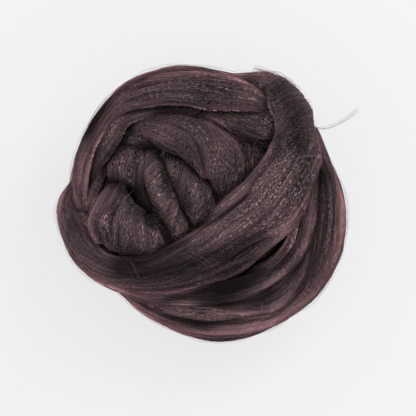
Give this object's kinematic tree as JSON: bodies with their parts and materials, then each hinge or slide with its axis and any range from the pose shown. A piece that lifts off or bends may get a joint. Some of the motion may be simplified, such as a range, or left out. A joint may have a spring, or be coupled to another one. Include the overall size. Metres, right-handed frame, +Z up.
{
  "type": "ball of wool roving",
  "caption": "Loosely wound ball of combed wool roving: broad soft bands laid round an open nest of plump folds, with one wide band crossing over the top.",
  "frame": {"origin": "middle of the ball's outline on the surface it rests on, inside its small flat spot", "axes": "+Z up; +X across the ball to the right of the picture, its longest side; +Y away from the viewer of the picture, which looks straight down"},
  "size_m": [0.161, 0.1541, 0.1008],
  "materials": {
    "wool": "matt combed fibre, dark burgundy brown"
  },
  "bodies": {
    "root": {"roving_ball": "wool"}
  },
  "joints": []
}
